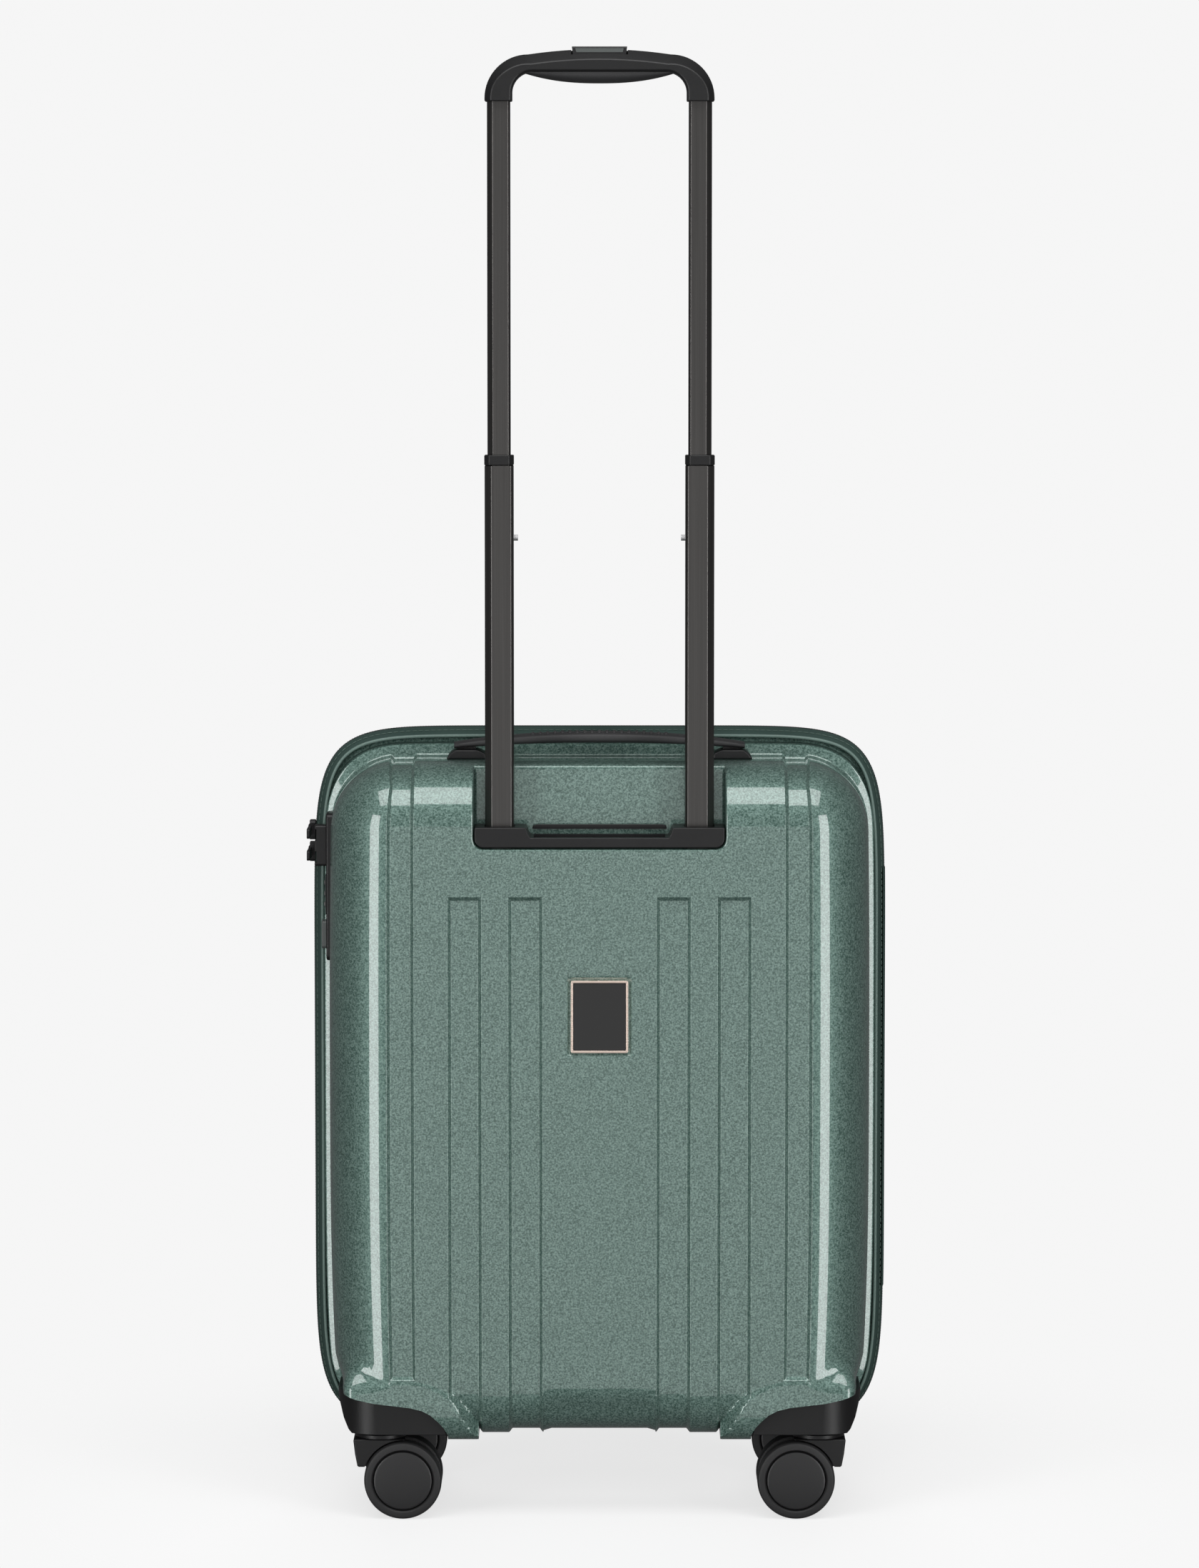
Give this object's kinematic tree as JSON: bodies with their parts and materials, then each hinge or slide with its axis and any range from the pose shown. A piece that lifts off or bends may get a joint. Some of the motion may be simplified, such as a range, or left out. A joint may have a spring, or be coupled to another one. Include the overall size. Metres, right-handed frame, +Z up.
{
  "type": "hard shell suitcase on wheels",
  "caption": "Cabin suitcase in two hard shell halves joined by a zip, standing on swivelling twin-wheel casters, with a two-stage telescopic trolley handle, a top carry handle and a dial lock.",
  "frame": {"origin": "on the floor under the middle of the case, centred in width and in depth", "axes": "+Z up along the trolley handle, -Y towards the back with the trolley handle, -X towards the side with the lock"},
  "size_m": [0.4083, 0.2012, 1.0245],
  "materials": {
    "shell": "glossy green polycarbonate with fine metallic flake",
    "zip_tape": "woven dark green zip tape",
    "black_plastic": "satin black moulded plastic",
    "soft_grip": "soft black elastomer",
    "steel": "plain steel",
    "zip_metal": "black enamelled zinc",
    "tube": "satin black anodised aluminium",
    "lining": "woven polyester lining",
    "webbing": "black elastic webbing",
    "badge_metal": "polished rose metal",
    "tyre": "grey-black polyurethane"
  },
  "bodies": {
    "rear_half": {"rear_shell": "shell", "rear_zip_tape": "zip_tape", "rear_lining": "lining", "packing_straps": "webbing", "handle_base_housing": "black_plastic", "tube_casing_left": "steel", "tube_casing_right": "steel", "handle_foot_bracket": "steel", "lock_body": "black_plastic", "carry_cap_left": "black_plastic", "carry_cap_right": "black_plastic", "badge_frame": "badge_metal", "badge_face": "black_plastic", "rear_left_caster_housing": "black_plastic", "rear_right_caster_housing": "black_plastic"},
    "front_half": {"front_shell": "shell", "front_zip_tape": "zip_tape", "front_lining": "lining", "divider_panel": "lining", "front_left_caster_housing": "black_plastic", "front_right_caster_housing": "black_plastic"},
    "lower_stage": {"lower_tube_left": "tube", "lower_tube_right": "tube", "stud_left": "steel", "stud_right": "steel", "tube_collar_left": "black_plastic", "tube_collar_right": "black_plastic"},
    "upper_stage": {"upper_tube_left": "tube", "upper_tube_right": "tube", "trolley_grip": "black_plastic", "grip_pad": "soft_grip"},
    "grip_button": {"grip_button": "black_plastic"},
    "carry_handle": {"carry_handle": "soft_grip"},
    "lock_button": {"lock_button": "black_plastic"},
    "lock_dial_1": {"lock_dial_1": "black_plastic"},
    "lock_dial_2": {"lock_dial_2": "black_plastic"},
    "lock_dial_3": {"lock_dial_3": "black_plastic"},
    "zip_slider_upper": {"zip_slider_upper": "zip_metal"},
    "zip_pull_upper": {"zip_pull_upper": "zip_metal"},
    "zip_slider_lower": {"zip_slider_lower": "zip_metal"},
    "zip_pull_lower": {"zip_pull_lower": "zip_metal"},
    "rear_left_caster": {"rear_left_fork": "black_plastic", "rear_left_axle": "steel"},
    "rear_left_wheel_outer": {"rear_left_wheel_outer": "tyre"},
    "rear_left_wheel_inner": {"rear_left_wheel_inner": "tyre"},
    "rear_right_caster": {"rear_right_fork": "black_plastic", "rear_right_axle": "steel"},
    "rear_right_wheel_outer": {"rear_right_wheel_outer": "tyre"},
    "rear_right_wheel_inner": {"rear_right_wheel_inner": "tyre"},
    "front_left_caster": {"front_left_fork": "black_plastic", "front_left_axle": "steel"},
    "front_left_wheel_outer": {"front_left_wheel_outer": "tyre"},
    "front_left_wheel_inner": {"front_left_wheel_inner": "tyre"},
    "front_right_caster": {"front_right_fork": "black_plastic", "front_right_axle": "steel"},
    "front_right_wheel_outer": {"front_right_wheel_outer": "tyre"},
    "front_right_wheel_inner": {"front_right_wheel_inner": "tyre"}
  },
  "joints": [
    {"name": "case_opening", "type": "hinge", "parent": "rear_half", "child": "front_half", "pos_m": [0.2032, 0, 0.3], "axis": [0, 0, -1], "range_deg": [0, 180]},
    {"name": "lower_stage_slide", "type": "slide", "parent": "rear_half", "child": "lower_stage", "axis": [0, 0, 1], "range_m": [-0.245, 0]},
    {"name": "upper_stage_slide", "type": "slide", "parent": "lower_stage", "child": "upper_stage", "axis": [0, 0, 1], "range_m": [-0.24, 0]},
    {"name": "grip_button_press", "type": "slide", "parent": "upper_stage", "child": "grip_button", "axis": [0, 0, 1], "range_m": [-0.004, 0], "stiffness_N_per_m": 400},
    {"name": "carry_handle_lift", "type": "slide", "parent": "rear_half", "child": "carry_handle", "axis": [0, 0, 1], "range_m": [0, 0.017], "stiffness_N_per_m": 300},
    {"name": "lock_button_press", "type": "slide", "parent": "rear_half", "child": "lock_button", "axis": [1, 0, 0], "range_m": [0, 0.0025], "stiffness_N_per_m": 400},
    {"name": "lock_dial_1_turn", "type": "hinge", "parent": "rear_half", "child": "lock_dial_1", "pos_m": [-0.1845, -0.035, 0.442], "axis": [0, 0, 1], "continuous": true},
    {"name": "lock_dial_2_turn", "type": "hinge", "parent": "rear_half", "child": "lock_dial_2", "pos_m": [-0.1845, -0.035, 0.4344], "axis": [0, 0, 1], "continuous": true},
    {"name": "lock_dial_3_turn", "type": "hinge", "parent": "rear_half", "child": "lock_dial_3", "pos_m": [-0.1845, -0.035, 0.4268], "axis": [0, 0, 1], "continuous": true},
    {"name": "zip_slider_upper_travel", "type": "slide", "parent": "rear_half", "child": "zip_slider_upper", "axis": [0, 0, 1], "range_m": [0, 0.02]},
    {"name": "zip_pull_upper_swing", "type": "hinge", "parent": "zip_slider_upper", "child": "zip_pull_upper", "pos_m": [-0.2049, -0.0075, 0.4765], "axis": [0, 0, -1], "range_deg": [0, 110]},
    {"name": "zip_slider_lower_travel", "type": "slide", "parent": "rear_half", "child": "zip_slider_lower", "axis": [0, 0, 1], "range_m": [-0.35, 0]},
    {"name": "zip_pull_lower_swing", "type": "hinge", "parent": "zip_slider_lower", "child": "zip_pull_lower", "pos_m": [-0.2049, -0.0075, 0.461], "axis": [0, 0, -1], "range_deg": [0, 110]},
    {"name": "rear_left_swivel", "type": "hinge", "parent": "rear_half", "child": "rear_left_caster", "pos_m": [-0.1535, -0.075, 0.06], "axis": [0, 0, 1], "continuous": true},
    {"name": "rear_left_wheel_outer_spin", "type": "hinge", "parent": "rear_left_caster", "child": "rear_left_wheel_outer", "pos_m": [-0.1377, -0.075, 0.0272], "axis": [0, 1, 0], "continuous": true},
    {"name": "rear_left_wheel_inner_spin", "type": "hinge", "parent": "rear_left_caster", "child": "rear_left_wheel_inner", "pos_m": [-0.1377, -0.075, 0.0272], "axis": [0, 1, 0], "continuous": true},
    {"name": "rear_right_swivel", "type": "hinge", "parent": "rear_half", "child": "rear_right_caster", "pos_m": [0.1535, -0.075, 0.06], "axis": [0, 0, 1], "continuous": true},
    {"name": "rear_right_wheel_outer_spin", "type": "hinge", "parent": "rear_right_caster", "child": "rear_right_wheel_outer", "pos_m": [0.1377, -0.075, 0.0272], "axis": [0, 1, 0], "continuous": true},
    {"name": "rear_right_wheel_inner_spin", "type": "hinge", "parent": "rear_right_caster", "child": "rear_right_wheel_inner", "pos_m": [0.1377, -0.075, 0.0272], "axis": [0, 1, 0], "continuous": true},
    {"name": "front_left_swivel", "type": "hinge", "parent": "front_half", "child": "front_left_caster", "pos_m": [-0.1535, 0.075, 0.06], "axis": [0, 0, 1], "continuous": true},
    {"name": "front_left_wheel_outer_spin", "type": "hinge", "parent": "front_left_caster", "child": "front_left_wheel_outer", "pos_m": [-0.1377, 0.075, 0.0272], "axis": [0, 1, 0], "continuous": true},
    {"name": "front_left_wheel_inner_spin", "type": "hinge", "parent": "front_left_caster", "child": "front_left_wheel_inner", "pos_m": [-0.1377, 0.075, 0.0272], "axis": [0, 1, 0], "continuous": true},
    {"name": "front_right_swivel", "type": "hinge", "parent": "front_half", "child": "front_right_caster", "pos_m": [0.1535, 0.075, 0.06], "axis": [0, 0, 1], "continuous": true},
    {"name": "front_right_wheel_outer_spin", "type": "hinge", "parent": "front_right_caster", "child": "front_right_wheel_outer", "pos_m": [0.1377, 0.075, 0.0272], "axis": [0, 1, 0], "continuous": true},
    {"name": "front_right_wheel_inner_spin", "type": "hinge", "parent": "front_right_caster", "child": "front_right_wheel_inner", "pos_m": [0.1377, 0.075, 0.0272], "axis": [0, 1, 0], "continuous": true}
  ]
}
